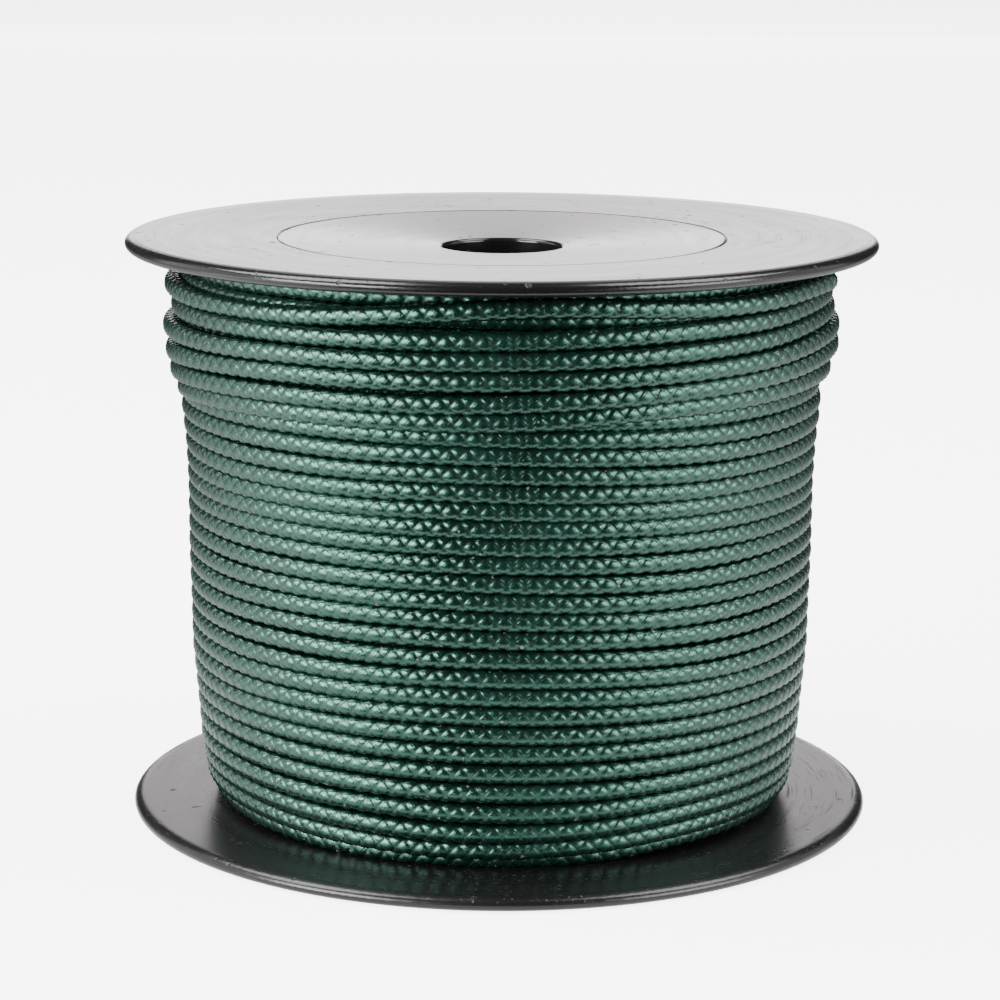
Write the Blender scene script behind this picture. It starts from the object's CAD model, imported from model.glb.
from math import cos, pi, radians, sin

import bpy
import numpy as np
from mathutils import Matrix, Vector


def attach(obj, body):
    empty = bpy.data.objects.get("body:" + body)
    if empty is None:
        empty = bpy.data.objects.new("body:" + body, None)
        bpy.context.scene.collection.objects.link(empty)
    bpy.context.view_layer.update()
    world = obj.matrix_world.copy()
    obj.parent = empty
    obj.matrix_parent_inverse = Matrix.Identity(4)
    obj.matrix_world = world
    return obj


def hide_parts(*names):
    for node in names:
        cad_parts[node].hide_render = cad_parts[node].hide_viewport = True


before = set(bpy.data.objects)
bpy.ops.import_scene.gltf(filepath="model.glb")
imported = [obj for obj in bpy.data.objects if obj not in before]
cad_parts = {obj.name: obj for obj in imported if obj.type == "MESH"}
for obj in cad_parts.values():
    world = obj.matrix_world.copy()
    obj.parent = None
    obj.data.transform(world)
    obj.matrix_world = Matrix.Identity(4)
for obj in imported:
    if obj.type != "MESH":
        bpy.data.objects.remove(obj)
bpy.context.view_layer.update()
MM = 0.001

# Angles round the reel are in degrees from the front (-Y) towards the right (+X), the way the
# cord is wound. Heights and radii are in millimetres until they become points.

CORD_DIAMETER = 3.0
PER_TURN = 24  # control points in one turn of the cord's route
TO_CONTROL = 1 / 0.99146  # a route with that many points runs this much inside them


def place(angle, radius, height):
    """The point at an angle round the reel, in millimetres."""
    return np.array((radius * sin(radians(angle)), -radius * cos(radians(angle)), height))


def smooth(x, keys):
    """A smooth curve through keys of (position, value), flat beyond its ends."""
    places = [k[0] for k in keys]
    values = [k[1] for k in keys]
    i = int(np.clip(np.searchsorted(places, x) - 1, 0, len(keys) - 2))
    t = float(np.clip((x - places[i]) / (places[i + 1] - places[i]), 0, 1))
    t = t * t * (3 - 2 * t)
    return values[i] + (values[i + 1] - values[i]) * t


def straight(x, keys):
    """Straight lines through keys of (position, value), flat beyond their ends."""
    return float(np.interp(x, [k[0] for k in keys], [k[1] for k in keys]))


# ---------------------------------------------------------------- camera

LOOK_DOWN = 11.765
CAMERA_ROLL = 0.3

camera = bpy.data.objects.new("camera", bpy.data.cameras.new("camera"))
bpy.context.scene.collection.objects.link(camera)
camera.data.sensor_width = 36
camera.data.lens = 114.29
camera.data.clip_start = 0.05
camera.location = (-0.0001, -0.5394, 0.1656)
camera.rotation_euler = (
    Matrix.Rotation(radians(90 - LOOK_DOWN), 4, "X") @ Matrix.Rotation(radians(CAMERA_ROLL), 4, "Z")
).to_euler()
bpy.context.scene.camera = camera


# ---------------------------------------------------------------- the cord's route

START_ANGLE = 135  # the notch in the barrel's head, where the cord goes in
KNOT_RADIUS = 25.5  # where the cord's stopper knot lies inside the hub
KNOT_HEIGHT = 82.5
KNOT_TILT = 32
KNOT_SCALE = 2.2  # millimetres per unit of the trefoil
KNOT_DEPTH = 1.9  # how far its strands swing to either side where they cross
KNOT_POINTS = 26
KNOT_TIP = pi / 3  # where the trefoil, which is closed, has the tip of a lobe
KNOT_CUT = (0.4, 0.25)  # how far after and before that tip it is cut open, in radians
TOP = 96.0  # height of a turn that lies against the upper flange
FOOT = 4.0  # and of one that lies against the lower flange
# From the knot out through the notch, as (angle past the notch, radius, height).
NOTCH_RUN = ((0, 31.6, 92.4), (0, 33.8, 95.6), (0, 36.2, TOP), (1, 38.4, TOP), (5, 40.3, TOP))
# The hidden layers, from the barrel outwards: turns, heights where each begins and ends, and
# keys of (height, radius). The third and fourth stop short of the foot, where outer turns sink in.
HIDDEN_LAYERS = (
    (31.1, TOP, FOOT, ((4, 41.0), (96, 41.0))),
    (31.1, FOOT, TOP, ((4, 43.8), (96, 43.86))),
    (30.1, TOP, 7.0, ((7, 46.1), (20, 46.3), (36, 46.72), (96, 46.72))),
    (28.0, 12.6, TOP, ((12, 48.3), (20, 48.8), (30, 49.3), (42, 49.58), (96, 49.58))),
)
FIRST_RADIUS = 40.8  # radius of the innermost turn where it leaves the notch
STEP_UP = 0.22  # share of a turn in which the cord climbs from one layer to the next
OUTER_BEGIN = 260  # angle where the fifth layer begins, at the top, behind on the left

# The fifth layer's turns, from the top one down: each one's height at 35 degrees left of the front.
TURN_HEIGHTS = (
    96.0, 92.9, 89.7, 86.5, 83.2, 80.0, 76.8, 74.05, 71.15, 68.05, 65.05, 62.2, 59.45, 56.65, 53.7,
    50.6, 47.55, 44.55, 41.45, 38.15, 34.9, 31.95, 28.95, 25.85, 22.75, 19.5, 16.2, 12.85, 9.5, 6.4,
    3.9,
)
HEIGHTS_AT = -35
TURN_BEGIN = -100  # angle where the count of turns goes up by one, behind on the left
FIFTH_LAYER_END = 95  # angle in the last turn where the cord leaves the foot
# How far a turn lies above an even helix round the front, as (angle, millimetres) keys.
TURN_WAVE = (
    (-100, -0.38), (-60, -0.35), (-35, 0.0), (-5, 0.38), (20, -0.1), (42, -0.7), (62, -0.52),
    (260, -0.38),
)
# How much of that holds, and how much of the small unevenness, as (height, share) keys.
WAVE_SHARE = (
    (4, -1.9), (10, -1.7), (14.5, -0.6), (18, -0.1), (21, 0.4), (24, 0.9), (29, 1.1), (90, 1.1),
    (96, 0.3),
)
WOBBLE_SHARE = ((3, 0), (12, 1), (90, 1), (96, 0))
# The fifth layer's radius, to the middle of the cord, as (height, radius) keys.
OUTER_RADII = (
    (3.6, 47.3), (6, 49.2), (8.5, 49.9), (13, 50.6), (18.6, 51.0), (22.3, 51.3), (29.5, 51.95),
    (36.6, 52.05), (47, 52.3), (57.8, 52.3), (64.8, 52.6), (71.8, 53.3), (75, 53.1), (79, 52.3),
    (83, 53.2), (87, 53.2), (90, 52.6), (93, 53.1), (96, 53.1),
)
# The top turn comes out from the fourth layer, rises to its height and then sinks to the next turn's.
COME_OUT = ((-100, 0), (-55, 1))
RISE_AT = ((-75, 0), (-45, 1))
SINK_AT = ((70, 0), (260, 1))
TOP_TURN_RISE = 0.9
TOP_TURN_SINK = 2.6

# The sixth, unfinished layer, from its lowest turn up: (angle, height, radius of the turn's middle).
SIXTH_LAYER = (
    ((-84, 74.6, 54.1), (-60, 76.0, 54.5), (-40, 76.6, 54.8), (0, 76.8, 54.9), (10, 77.1, 54.9),
     (20, 77.9, 54.9), (30, 78.1, 54.9), (50, 78.3, 54.9), (70, 78.7, 54.9), (84, 78.1, 54.8),
     (180, 77.8, 55.0)),
    ((-84, 77.3, 55.1), (-60, 78.7, 55.2), (-40, 79.4, 55.3), (-10, 79.6, 55.4), (30, 80.8, 55.5),
     (50, 81.1, 55.7), (70, 82.0, 55.9), (84, 82.3, 56.1), (180, 81.2, 55.9)),
    ((-84, 80.5, 55.8), (-60, 82.1, 55.8), (-40, 82.9, 55.8), (-10, 83.3, 55.8), (30, 83.7, 55.9),
     (50, 84.0, 56.0), (70, 85.2, 56.1), (84, 85.5, 56.1), (180, 84.8, 56.2)),
    ((-84, 84.8, 56.2), (-60, 85.3, 56.2), (-40, 86.0, 56.1), (-10, 86.4, 56.0), (30, 86.9, 55.8),
     (50, 87.1, 55.6), (70, 88.4, 55.4), (84, 88.4, 55.2), (180, 88.0, 55.6)),
    ((-84, 88.5, 54.7), (-50, 88.9, 55.7), (-20, 89.4, 55.6), (0, 89.6, 55.6), (20, 90.0, 55.6),
     (30, 90.2, 55.6), (50, 90.2, 55.5), (70, 91.3, 55.0), (84, 91.0, 54.8), (180, 90.6, 54.6)),
    ((-84, 91.9, 55.9), (-60, 91.8, 55.5), (-40, 91.8, 54.9), (-30, 92.3, 55.0), (-20, 93.1, 55.3),
     (-10, 94.1, 55.5), (0, 94.9, 55.6), (10, 95.2, 55.7), (20, 94.6, 55.7), (30, 93.6, 55.7),
     (45, 93.25, 55.7), (60, 93.7, 55.7)),
)
SIXTH_LAYER_BEGIN = -84.0  # angle of every turn's first key
TAIL_TANGENT = 64  # angle where the free end leaves the turns on a tangent
TAIL_EASE = 6  # the turns' last control points keep this far before it, in degrees
TAIL_RADIUS = 55.75
TAIL_HEIGHT = 93.8
TAIL_REACH = (0.0, 5.0, 9.5, 13.2)  # control points of the free end, along the tangent
TAIL_RISE = 0.03  # rise of the free end per millimetre
# The run from the foot up the rear of the reel to the sixth layer, which lies on the fifth.
RETURN_END = 266  # angle where it reaches the sixth layer
RETURN_LIFT = 0.3  # it begins this far over the foot
RETURN_DROP = 0.4  # and ends this far under the sixth layer's first key
RETURN_STACK = 2.9  # its radius over the fifth layer's
RETURN_RADII = (51.5, 55.6)  # least and greatest radius
RETURN_CLIMB_SHARE = 0.12  # share of the run in which it climbs onto the fifth layer
RETURN_CLIMB_RADIUS = 50.2  # its radius where that begins
RETURN_CLIMB_RATE = 9  # and how fast it grows, in millimetres over the whole run


def wobble(angle, height):
    """Small unevenness that neighbouring turns share, in millimetres."""
    a = radians(angle)
    return (
        0.10 * sin(3 * a + 0.21 * height)
        + 0.07 * sin(5 * a - 0.37 * height + 1.3)
        + 0.05 * sin(9 * a + 0.83 * height + 0.4)
    )


def stopper_knot():
    """Control points of the overhand knot at the cord's inner end: a trefoil, cut open."""
    middle = place(START_ANGLE, KNOT_RADIUS, KNOT_HEIGHT)
    outward = place(START_ANGLE, 1, 0)
    across = place(START_ANGLE + 90, 1, 0)
    up = np.array((0, 0, 1))
    turned = radians(KNOT_TILT)
    out = []
    begin = KNOT_TIP + KNOT_CUT[0]
    end = KNOT_TIP + 2 * pi - KNOT_CUT[1]
    for t in np.linspace(begin, end, KNOT_POINTS):
        x = sin(t) + 2 * sin(2 * t)
        y = cos(t) - 2 * cos(2 * t)
        along_it = x * cos(turned) - y * sin(turned)
        above_it = x * sin(turned) + y * cos(turned)
        flat = KNOT_SCALE * (outward * along_it + up * above_it)
        out.append(middle + flat - KNOT_DEPTH * sin(3 * t) * across)
    return out


def hidden_layers():
    """Control points from the knot inside the hub to the end of the fourth layer."""
    out = stopper_knot()
    out += [place(START_ANGLE + past, radius, height) for past, radius, height in NOTCH_RUN]
    wanted = sum(layer[0] for layer in HIDDEN_LAYERS)
    part_turn = (OUTER_BEGIN - START_ANGLE) / 360
    whole = round(wanted - part_turn) + part_turn
    angle = START_ANGLE
    before = (TOP, FIRST_RADIUS)
    for turns, begin, end, radii in HIDDEN_LAYERS:
        turns *= whole / wanted
        count = round(turns * PER_TURN)
        for n in range(1, count + 1):
            done = turns * n / count
            climb = smooth(done, ((0, 0), (STEP_UP, 1)))
            height = begin + (end - begin) * max(0, (done - STEP_UP) / (turns - STEP_UP))
            radius = before[1] + (straight(height, radii) - before[1]) * climb
            height = before[0] + (height - before[0]) * climb
            out.append(place(angle + 360 * done, radius * TO_CONTROL, height))
        before = (end, straight(end, radii))
        angle += 360 * turns
    # The fifth layer's first point takes the last one's place.
    return out[:-1]


def fifth_layer_height(turn, angle):
    """Height at an angle of -100 to 260 degrees in a turn of the fifth layer."""
    at = turn + (angle - HEIGHTS_AT) / 360
    base = float(np.interp(at, range(len(TURN_HEIGHTS)), TURN_HEIGHTS))
    wave = straight(base, WAVE_SHARE) * smooth(angle, TURN_WAVE)
    height = base + wave + wobble(angle, base) * straight(base, WOBBLE_SHARE)
    return float(np.clip(height, FOOT, TOP))


def outer_layers():
    """Control points from the start of the fifth layer to the free end."""
    out = []
    step = 360 / PER_TURN
    last = len(TURN_HEIGHTS) - 1
    for turn in range(len(TURN_HEIGHTS)):
        for n in range(PER_TURN):
            angle = TURN_BEGIN + step * n
            if turn == last and angle > FIFTH_LAYER_END:
                break
            height = fifth_layer_height(turn, angle)
            radius = straight(height, OUTER_RADII)
            if turn == 0:
                below = HIDDEN_LAYERS[-1][3][-1][1]
                radius = below + (radius - below) * smooth(angle, COME_OUT)
                height = TOP - TOP_TURN_RISE * (1 - smooth(angle, RISE_AT))
                height -= TOP_TURN_SINK * smooth(angle, SINK_AT)
            out.append(place(angle, radius * TO_CONTROL, height))
    rear_begin = angle
    rear_steps = round((RETURN_END - rear_begin) / step)
    low = FOOT + RETURN_LIFT
    high = SIXTH_LAYER[0][0][1] - RETURN_DROP
    for n in range(rear_steps):
        t = n / rear_steps
        height = low + (high - low) * smooth(t, ((0, 0), (1, 1)))
        radius = max(straight(height, OUTER_RADII) + RETURN_STACK, RETURN_RADII[0])
        if t <= RETURN_CLIMB_SHARE:
            radius = RETURN_CLIMB_RADIUS + RETURN_CLIMB_RATE * t
        out.append(place(rear_begin + step * n, min(radius, RETURN_RADII[1]) * TO_CONTROL, height))
    for number, keys in enumerate(SIXTH_LAYER):
        end = TAIL_TANGENT - TAIL_EASE
        if number + 1 < len(SIXTH_LAYER):
            following = SIXTH_LAYER[number + 1][0]
            keys = keys + ((360 + following[0], following[1], following[2]),)
            end = SIXTH_LAYER_BEGIN + 360 - step / 2
        heights = [(k[0], k[1]) for k in keys]
        radii = [(k[0], k[2]) for k in keys]
        angle = SIXTH_LAYER_BEGIN
        while angle < end:
            out.append(place(angle, straight(angle, radii) * TO_CONTROL, straight(angle, heights)))
            angle += step
    side = place(TAIL_TANGENT, TAIL_RADIUS, TAIL_HEIGHT)
    ahead = place(TAIL_TANGENT + 90, 1, 0)
    for reach in TAIL_REACH:
        out.append(side + ahead * reach + np.array((0, 0, TAIL_RISE * reach)))
    return out


def route_line(name, points, resolution):
    """The smooth line of a NURBS spline with these control points, in millimetres."""
    curve = bpy.data.curves.new(name, "CURVE")
    curve.dimensions = "3D"
    spline = curve.splines.new("NURBS")
    spline.points.add(len(points) - 1)
    flat = np.ones((len(points), 4))
    flat[:, :3] = np.array(points) * MM
    spline.points.foreach_set("co", flat.ravel())
    spline.order_u = 3
    spline.use_endpoint_u = True
    spline.resolution_u = resolution
    holder = bpy.data.objects.new(name, curve)
    mesh = bpy.data.meshes.new_from_object(holder)
    line = np.zeros(len(mesh.vertices) * 3)
    mesh.vertices.foreach_get("co", line)
    bpy.data.objects.remove(holder)
    bpy.data.curves.remove(curve)
    bpy.data.meshes.remove(mesh)
    return line.reshape(-1, 3) / MM


def along(line):
    """Distance of each point of a line from its start."""
    return np.concatenate(([0], np.cumsum(np.linalg.norm(np.diff(line, axis=0), axis=1))))


def resample(line, distances):
    """The points of a line at these distances from its start."""
    place_on = along(line)
    return np.stack([np.interp(distances, place_on, line[:, i]) for i in range(3)], axis=1)


def unit(v):
    return v / np.maximum(np.linalg.norm(v, axis=1, keepdims=True), 1e-12)


NOT_ALONG = (0.31, 0.52, 0.79)  # a direction that no route begins in


def frames_along(line):
    """Two directions square to a line and to each other at each of its points, without twist."""
    tangent = unit(np.gradient(line, axis=0))
    outward = np.zeros_like(line)
    now = np.cross(tangent[0], NOT_ALONG)
    for i, ahead in enumerate(tangent):
        now = now - ahead * np.dot(now, ahead)
        now = now / np.linalg.norm(now)
        outward[i] = now
    return outward, np.cross(tangent, outward)


def new_mesh(name, vertices, faces):
    """A smooth-shaded mesh object from arrays of points and of faces with one corner count."""
    mesh = bpy.data.meshes.new(name)
    mesh.vertices.add(len(vertices))
    mesh.vertices.foreach_set("co", np.ascontiguousarray(vertices * MM, np.float32).ravel())
    corners = faces.shape[1]
    mesh.loops.add(faces.size)
    mesh.loops.foreach_set("vertex_index", faces.astype(np.int32).ravel())
    mesh.polygons.add(len(faces))
    mesh.polygons.foreach_set("loop_start", np.arange(0, faces.size, corners, dtype=np.int32))
    mesh.update(calc_edges=True)
    mesh.polygons.foreach_set("use_smooth", np.ones(len(faces), bool))
    mesh.validate()
    thing = bpy.data.objects.new(name, mesh)
    bpy.context.scene.collection.objects.link(thing)
    return thing


# ---------------------------------------------------------------- the braid

LEAF = 2.9  # length of one leaf of the braid's pattern along the cord
STRANDS = 3  # yarns laid each way round the cord
# Mesh lines across one yarn, from one crease to the next: close together at its edges.
YARN_LINES = np.array((-0.5, -0.41, -0.18, 0.18, 0.41))
CREASE = 1.40  # radius at the creases between leaves
CREST = 1.65  # radius at the top of a leaf
SQUARENESS = 2.8  # 2 is a round cord; more is squarer, as turns press their neighbours flat
ROLL = 9  # how far the pattern is turned round the cord, in degrees
ROLL_SPREAD = 6  # how much that varies along it
ROLL_SPACING = 130.0  # distance between its changes, in millimetres
YARN_SPACING = 3.7  # keeps the yarns' fibre patterns apart
PLAIN_SHARE = 0.97  # a hidden turn's thickness over the cord's, so that layers keep clear
# A leaf's rise from its edges, along it and across: how flat its top is, how steep its edge.
LEAF_ALONG = (2.2, 0.9)
LEAF_ACROSS = (2.4, 0.85)


def leaf_height(run, side):
    """How far a leaf rises from its creases, 0 to 1: run is the place along it, side across."""
    ends = np.clip(1 - (2 * np.abs(run)) ** LEAF_ALONG[0], 0, 1) ** LEAF_ALONG[1]
    sides = np.clip(1 - (2 * np.abs(side)) ** LEAF_ACROSS[0], 0, 1) ** LEAF_ACROSS[1]
    return ends * sides


def leaf_tones(p, q):
    """An even scatter of shades from 0 to 1, one for each leaf."""
    return np.abs(np.sin(p * 12.9898 + q * 78.233) * 43758.5453) % 1


def braided_tube(name, line, seed):
    """A tube of braided yarns along a line, with each face's place on its yarn as UVs."""
    cells = len(YARN_LINES)
    around = STRANDS * cells
    total = along(line)[-1]
    half_rings = int(total / LEAF) * 2 * cells
    i = np.arange(half_rings)[:, None]
    k = 2 * np.arange(around)[None, :] + (i % 2)
    line_p = (i - k) // 2
    line_q = (i + k) // 2
    p = line_p // cells + YARN_LINES[line_p % cells]
    q = line_q // cells + YARN_LINES[line_q % cells]
    distance = np.clip(LEAF * (p + q) / 2, 0, total)
    angle = radians(180 / STRANDS) * (q - p)
    place_on = along(line)
    tangent = unit(np.gradient(line, axis=0))
    rng = np.random.default_rng(seed)
    changes = np.arange(0, total + 200, ROLL_SPACING)
    rolls = radians(ROLL) + rng.normal(0, radians(ROLL_SPREAD), len(changes))
    roll = np.interp(place_on, changes, rolls)

    def on_line(values):
        return np.stack([np.interp(distance, place_on, values[:, c]) for c in range(3)], axis=2)

    centre = on_line(line)
    ahead = on_line(tangent)
    toward = centre * np.array((1, 1, 0))
    outward = toward - ahead * np.sum(toward * ahead, axis=2, keepdims=True)
    outward /= np.linalg.norm(outward, axis=2, keepdims=True)
    sideways = np.cross(ahead, outward)
    tile_p = np.round(p)
    tile_q = np.round(q)
    over = (tile_p + tile_q) % 2 == 1
    run = np.where(over, q - tile_q, p - tile_p)
    side = np.where(over, p - tile_p, q - tile_q)
    rise = leaf_height(run, side)
    radius = CREASE + (CREST - CREASE) * rise
    theta = angle + np.interp(distance, place_on, roll)
    powers = np.abs(np.cos(theta)) ** SQUARENESS + np.abs(np.sin(theta)) ** SQUARENESS
    packed = powers ** (-1 / SQUARENESS)
    vertices = centre + (radius * packed)[:, :, None] * (
        np.cos(theta)[:, :, None] * outward + np.sin(theta)[:, :, None] * sideways
    )
    ring = np.arange(half_rings - 2)[:, None]
    column = np.arange(around)[None, :]
    odd = ring % 2
    here = ring * around + column
    right = (ring + 1) * around + (column + odd) % around
    left = (ring + 1) * around + (column + odd - 1) % around
    beyond = (ring + 2) * around + column
    faces = np.stack([here, left, beyond, right], axis=2).reshape(-1, 4)
    face_k = 2 * column + odd
    face_p = ((ring - face_k) // 2).reshape(-1)
    face_q = ((ring + face_k) // 2).reshape(-1)
    leaf_p = face_p // cells
    leaf_q = face_q // cells
    edges = np.append(YARN_LINES, 0.5)
    step = np.array(((0, 0), (1, 0), (1, 1), (0, 1)))
    corner_p = leaf_p[:, None] + edges[(face_p % cells)[:, None] + step[None, :, 0]]
    corner_q = leaf_q[:, None] + edges[(face_q % cells)[:, None] + step[None, :, 1]]
    rising = ((leaf_p + leaf_q) % 2 == 1)[:, None]
    yarn_run = np.where(rising, corner_q, corner_p)
    yarn_side = np.where(rising, corner_p - leaf_p[:, None], corner_q - leaf_q[:, None])
    yarn_number = np.where(rising, leaf_p[:, None], leaf_q[:, None] + 0.5)
    yarn_side = yarn_side + YARN_SPACING * yarn_number
    tube = new_mesh(name, vertices.reshape(-1, 3), faces)
    uv = tube.data.uv_layers.new(name="yarn")
    uv.data.foreach_set("uv", np.stack([yarn_run, yarn_side], axis=2).astype(np.float32).ravel())
    tone = tube.data.attributes.new("leaf_tone", "FLOAT", "FACE")
    tone.data.foreach_set("value", leaf_tones(leaf_p, leaf_q).astype(np.float32))
    relief = tube.data.attributes.new("relief", "FLOAT", "POINT")
    relief.data.foreach_set("value", rise.astype(np.float32).ravel())
    return tube


def plain_tube(name, line, fine_length, fine_step, step, sides):
    """A smooth tube along a line, for turns that the outer ones hide; finer round the knot."""
    length = along(line)[-1]
    fine = np.arange(0, fine_length, fine_step)
    coarse = np.linspace(fine_length, length, int((length - fine_length) / step))
    centre = resample(line, np.concatenate((fine, coarse)))
    outward, sideways = frames_along(centre)
    theta = (2 * pi * np.arange(sides) / sides)[None, :, None]
    points = centre[:, None, :] + PLAIN_SHARE * CORD_DIAMETER / 2 * (
        np.cos(theta) * outward[:, None, :] + np.sin(theta) * sideways[:, None, :]
    )
    ring = np.arange(len(centre) - 1)[:, None] * sides
    column = np.arange(sides)[None, :]
    following = (column + 1) % sides
    corners = [ring + column, ring + following, ring + sides + following, ring + sides + column]
    faces = np.stack(corners, axis=2)
    return new_mesh(name, points.reshape(-1, 3), faces.reshape(-1, 4)), centre


outer_points = outer_layers()
inner_line = route_line("inner_route", hidden_layers() + [outer_points[0]], 4)
outer_centre = route_line("outer_route", outer_points, 12)
inner_cord, inner_centre = plain_tube(
    "cord_inner_layers", inner_line, fine_length=100, fine_step=0.5, step=3.0, sides=10
)
outer_cord = braided_tube("cord_outer_layers", outer_centre, seed=5)


# ---------------------------------------------------------------- materials


def material(name):
    """A new material's node tree with one Principled shader in it."""
    made = bpy.data.materials.new(name)
    made.use_nodes = True
    tree = made.node_tree
    tree.nodes.clear()
    shader = tree.nodes.new("ShaderNodeBsdfPrincipled")
    output = tree.nodes.new("ShaderNodeOutputMaterial")
    tree.links.new(shader.outputs["BSDF"], output.inputs["Surface"])
    return made, tree, shader


def connect(tree, thing, inputs):
    """Set a node's inputs to plain values, or link them to other nodes' outputs."""
    for name, value in inputs.items():
        if isinstance(value, bpy.types.NodeSocket):
            tree.links.new(value, thing.inputs[name])
        else:
            thing.inputs[name].default_value = value


def node(tree, kind, inputs, output=0, **settings):
    """Add a node and return one of its outputs."""
    made = tree.nodes.new("ShaderNode" + kind)
    for name, value in settings.items():
        setattr(made, name, value)
    connect(tree, made, inputs)
    return made.outputs[output]


def between(tree, value, low, high, to_low=0.0, to_high=1.0):
    """Map a value's range onto another one, clamped."""
    ranges = {"Value": value, "From Min": low, "From Max": high, "To Min": to_low, "To Max": to_high}
    return node(tree, "MapRange", ranges)


def noise(tree, where, scale, detail=2.0):
    return node(tree, "TexNoise", {"Vector": where, "Scale": scale, "Detail": detail})


def times(tree, first, second):
    return node(tree, "Math", {0: first, 1: second}, operation="MULTIPLY")


def plus(tree, first, second):
    return node(tree, "Math", {0: first, 1: second}, operation="ADD")


def blend(tree, share, first, second):
    """A mix of two colours."""
    return node(tree, "MixRGB", {"Fac": share, "Color1": first, "Color2": second})


YARN_CREASE = (0.0008, 0.004, 0.0028, 1)
YARN_CREST = (0.002, 0.0098, 0.0068, 1)
YARN_GLOSS = (0.45, 1.0, 0.8, 1)
LINT = (0.12, 0.12, 0.1, 1)


def braid_material():
    """Dyed yarn with fine fibres along it, darker in the creases, with worn patches and lint."""
    made, tree, shader = material("braided_yarn")
    shader.inputs["Specular IOR Level"].default_value = 1.0
    shader.inputs["Specular Tint"].default_value = YARN_GLOSS
    shader.inputs["Anisotropic"].default_value = 0.3
    yarn = node(tree, "UVMap", {}, uv_map="yarn")
    stretched = node(tree, "VectorMath", {0: yarn, 1: (1.1, 9.0, 1.0)}, operation="MULTIPLY")
    filaments = noise(tree, stretched, 1.0, 3.0)
    bump = node(tree, "Bump", {"Height": filaments, "Strength": 0.5, "Distance": 0.00012})
    grain = node(tree, "Tangent", {}, direction_type="UV_MAP", uv_map="yarn")
    tone = node(tree, "Attribute", {}, "Fac", attribute_name="leaf_tone")
    relief = node(tree, "Attribute", {}, "Fac", attribute_name="relief")
    where = node(tree, "TexCoord", {}, "Object")
    worn = noise(tree, where, 55.0)
    depth = blend(tree, between(tree, relief, 0.1, 0.6), YARN_CREASE, YARN_CREST)
    vary = times(tree, between(tree, tone, 0, 1, 0.75, 1.3), between(tree, worn, 0.3, 0.7, 0.8, 1.2))
    shade = node(tree, "VectorMath", {0: depth, "Scale": vary}, operation="SCALE")
    specks = between(tree, noise(tree, where, 1300.0, 0.0), 0.80, 0.84)
    rough = between(tree, relief, 0, 0.5, 0.36, 0.23)
    rough = plus(tree, rough, between(tree, worn, 0.3, 0.7, -0.03, 0.06))
    connect(tree, shader, {
        "Base Color": blend(tree, specks, shade, LINT),
        "Roughness": rough,
        "Normal": bump,
        "Tangent": grain,
    })
    return made


def plain_cord_material():
    """The same yarn where no leaves are modelled."""
    made, tree, shader = material("braided_yarn_inside")
    shader.inputs["Specular Tint"].default_value = YARN_GLOSS
    where = node(tree, "TexCoord", {}, "Object")
    leaves = noise(tree, where, 700.0)
    bump = node(tree, "Bump", {"Height": leaves, "Strength": 0.6, "Distance": 0.0002})
    connect(tree, shader, {
        "Base Color": blend(tree, between(tree, leaves, 0.35, 0.65), YARN_CREASE, YARN_CREST),
        "Roughness": between(tree, leaves, 0.3, 0.7, 0.7, 0.4),
        "Normal": bump,
    })
    return made


BLACK_PLASTIC = (0.0055, 0.0054, 0.0055, 1)
DUST = (0.05, 0.05, 0.048, 1)


def plastic_material(name, roughness, scuffs, dust):
    """Glossy black moulding with fine scuffs that run round it, shallow pits and dust."""
    made, tree, shader = material(name)
    shader.inputs["IOR"].default_value = 1.47
    where = node(tree, "TexCoord", {}, "Object")
    flat = node(tree, "VectorMath", {0: where, 1: (1, 1, 0)}, operation="MULTIPLY")
    radius = node(tree, "VectorMath", {0: flat}, "Value", operation="LENGTH")
    round_it = node(tree, "VectorMath", {0: flat}, operation="NORMALIZE")
    split = tree.nodes.new("ShaderNodeSeparateXYZ")
    tree.links.new(round_it, split.inputs[0])

    def swept(along_it, across):
        """Coordinates for a pattern that runs round the reel."""
        parts = {
            "X": times(tree, split.outputs["X"], along_it),
            "Y": times(tree, split.outputs["Y"], along_it),
            "Z": times(tree, radius, across),
        }
        return node(tree, "CombineXYZ", parts)

    patches = between(tree, noise(tree, where, 28.0), 0.42, 0.66)
    scratches = between(tree, noise(tree, swept(5.0, 2600.0), 1.0, 1.0), 0.58, 0.74)
    scratches = times(tree, scratches, patches)
    streaks = between(tree, noise(tree, swept(2.2, 420.0), 1.0), 0.35, 0.7)
    pits = between(tree, noise(tree, where, 640.0, 0.0), 0.79, 0.85)
    specks = between(tree, noise(tree, where, 2100.0, 0.0), 0.76, 0.80)
    lie = node(tree, "NewGeometry", {}, "Normal")
    upward = node(tree, "VectorMath", {0: lie, 1: (0, 0, 1)}, "Value", operation="DOT_PRODUCT")
    specks = times(tree, times(tree, specks, between(tree, upward, 0.3, 0.8)), dust)
    rough = plus(tree, times(tree, scratches, scuffs), times(tree, streaks, 0.03))
    rough = plus(tree, rough, times(tree, pits, 0.2))
    rough = plus(tree, rough, times(tree, specks, 0.4))
    height = plus(tree, times(tree, scratches, 0.2 * scuffs), times(tree, pits, -1.0))
    connect(tree, shader, {
        "Base Color": blend(tree, specks, BLACK_PLASTIC, DUST),
        "Roughness": plus(tree, rough, roughness),
        "Normal": node(tree, "Bump", {"Height": height, "Strength": 0.5, "Distance": 0.00008}),
    })
    return made


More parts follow.
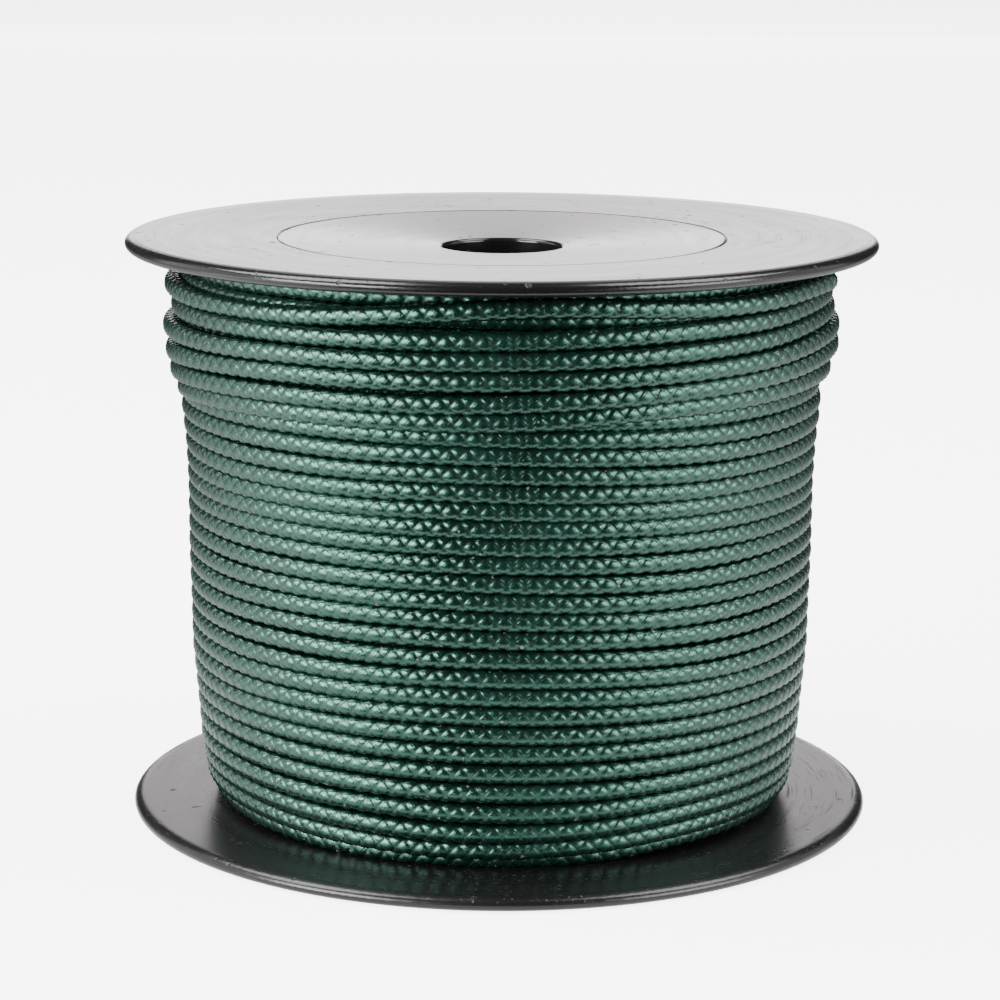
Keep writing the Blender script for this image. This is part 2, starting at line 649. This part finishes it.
outer_cord.data.materials.append(braid_material())
inner_cord.data.materials.append(plain_cord_material())
upper_plastic = plastic_material("upper_flange_plastic", roughness=0.2, scuffs=0.08, dust=0.12)
lower_plastic = plastic_material("lower_flange_plastic", roughness=0.27, scuffs=0.25, dust=1.0)
hub_plastic = plastic_material("hub_black", roughness=0.16, scuffs=0.08, dust=0.1)
barrel_plastic = plastic_material("barrel_black", roughness=0.3, scuffs=0.2, dust=0.0)
for piece, plastic in (
    ("upper_flange", upper_plastic),
    ("lower_flange", lower_plastic),
    ("upper_hub", hub_plastic),
    ("lower_hub", hub_plastic),
    ("barrel", barrel_plastic),
):
    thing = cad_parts[piece]
    thing.data.materials.clear()
    thing.data.materials.append(plastic)

for cord, nodes in (
    (inner_cord, ("cord_start",)),
    (outer_cord, ("cord_winding", "cord_tail")),
):
    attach(cord, "root")
    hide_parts(*nodes)


# ---------------------------------------------------------------- floor, backdrop and light

WHITE = (1, 1, 1, 1)
GREY = (0.2, 0.2, 0.2, 1)
FLOOR_SPLIT = -0.118  # y where the floor's part under the reel begins
FLOOR_WIDTH = (-3, 3)
BACKDROP_AT = 2.2
BACKDROP_HALF_WIDTH = 0.6
LIT_POINT = Vector((0, 0, 0.05))  # the middle of the reel, which the soft boxes face

# Light given off by height over the backdrop's foot, and by distance behind the reel's axis on
# the floor, as (metres, level) keys.
BACKDROP_LEVELS = (
    (0.0, 3.0), (0.06, 2.2), (0.32, 2.2), (0.43, 8.0), (0.48, 2.6), (0.6, 1.2), (0.68, 0.45),
    (1.55, 1.1), (2.6, 0.6), (3.0, 0.3),
)
BOUNCE_LEVELS = ((0.0, 1.9), (0.1, 0.8), (0.35, 0.2), (1.0, 0.2))


def flat_panel(name, corners):
    """A panel of the stage."""
    mesh = bpy.data.meshes.new(name)
    mesh.from_pydata([Vector(c) for c in corners], [], [tuple(range(len(corners)))])
    thing = bpy.data.objects.new(name, mesh)
    bpy.context.scene.collection.objects.link(thing)
    return thing


def level_panel(name, across, deep, height):
    """A level panel of the stage, over ranges of x and y."""
    left, right = across
    front, back = deep
    edges = ((left, front), (right, front), (right, back), (left, back))
    return flat_panel(name, [(x, y, height) for x, y in edges])


def glowing(name, base, strength):
    """A matt material that gives off even white light."""
    made, tree, shader = material(name)
    connect(tree, shader, {
        "Base Color": base,
        "Roughness": 0.9,
        "Emission Color": WHITE,
        "Emission Strength": strength,
    })
    return made


def glowing_by_place(name, base, axis, levels, tint):
    """A matt material that gives off light by (metres, level) keys along an axis."""
    strongest = max(level for _, level in levels)
    reach = levels[-1][0]
    made, tree, shader = material(name)
    split = tree.nodes.new("ShaderNodeSeparateXYZ")
    ramp = tree.nodes.new("ShaderNodeValToRGB")
    elements = ramp.color_ramp.elements
    while len(elements) < len(levels):
        elements.new(0.5)
    for element, (spot, _) in zip(elements, levels):
        element.position = spot / reach
    for element, (_, level) in zip(elements, levels):
        element.color = [level / strongest * t for t in tint] + [1]
    connect(tree, split, {0: node(tree, "TexCoord", {}, "Object")})
    connect(tree, ramp, {"Fac": between(tree, split.outputs[axis], 0, reach)})
    connect(tree, shader, {
        "Base Color": base,
        "Roughness": 0.9,
        "Emission Color": ramp.outputs["Color"],
        "Emission Strength": strongest,
    })
    return made


def soft_box(name, location, width, height, watts):
    """A rectangular lamp that faces the reel."""
    data = bpy.data.lights.new(name, "AREA")
    data.shape = "RECTANGLE"
    data.size = width
    data.size_y = height
    data.energy = watts
    lamp = bpy.data.objects.new(name, data)
    lamp.location = location
    lamp.rotation_euler = (LIT_POINT - Vector(location)).to_track_quat("-Z", "Y").to_euler()
    bpy.context.scene.collection.objects.link(lamp)


# The floor is in two parts that only the camera sees. The front one casts no shadow, so it
# doesn't keep the light of the panels below it from the reel.
floor_paint = glowing("floor_paint", (0.9, 0.9, 0.9, 1), 5.0)
floor = level_panel("floor", FLOOR_WIDTH, (FLOOR_SPLIT, 8), 0)
floor_front = level_panel("floor_front", FLOOR_WIDTH, (-3, FLOOR_SPLIT), 0)
for ground in (floor, floor_front):
    ground.visible_glossy = False
    ground.visible_diffuse = False
    ground.data.materials.append(floor_paint)
floor_front.visible_shadow = False

# These light the reel and show in its gloss, but the camera doesn't see them.
floor_bounce = level_panel("floor_bounce", FLOOR_WIDTH, (FLOOR_SPLIT, BACKDROP_AT), -0.002)
left_table = level_panel("left_table", (-1.3, -0.2), (-0.7, 0.03), -0.001)
right_table = level_panel("right_table", (0.2, 1.3), (-0.7, 0.0), -0.001)
backdrop = flat_panel("backdrop", [
    (-BACKDROP_HALF_WIDTH, BACKDROP_AT, 0),
    (BACKDROP_HALF_WIDTH, BACKDROP_AT, 0),
    (BACKDROP_HALF_WIDTH, BACKDROP_AT, 3),
    (-BACKDROP_HALF_WIDTH, BACKDROP_AT, 3),
])
for panel, paint in (
    (left_table, glowing("left_table_paint", GREY, 3.0)),
    (right_table, glowing("right_table_paint", GREY, 2.0)),
    (floor_bounce, glowing_by_place("bounce_paint", GREY, "Y", BOUNCE_LEVELS, (1, 1, 1))),
    (backdrop, glowing_by_place(
        "backdrop_paint", (0.8, 0.8, 0.8, 1), "Z", BACKDROP_LEVELS, (1.0, 0.95, 0.94)
    )),
):
    panel.visible_camera = False
    panel.data.materials.append(paint)

world = bpy.data.worlds.new("studio")
world.use_nodes = True
bpy.context.scene.world = world
background = world.node_tree.nodes["Background"]
background.inputs["Color"].default_value = WHITE
background.inputs["Strength"].default_value = 0.05

soft_box("left_box", (-0.92, -0.7, 0.36), 0.8, 0.6, 33)
soft_box("right_box", (0.98, -0.6, 0.36), 0.8, 0.6, 17)
soft_box("left_side_box", (-1.11, 0.25, 0.4), 0.9, 0.8, 4)
soft_box("right_side_box", (1.11, 0.25, 0.4), 0.9, 0.8, 2.5)
soft_box("left_top_box", (-0.55, 0.1, 1.0), 0.7, 0.6, 17)
soft_box("right_top_box", (0.55, 0.1, 1.0), 0.7, 0.6, 12)
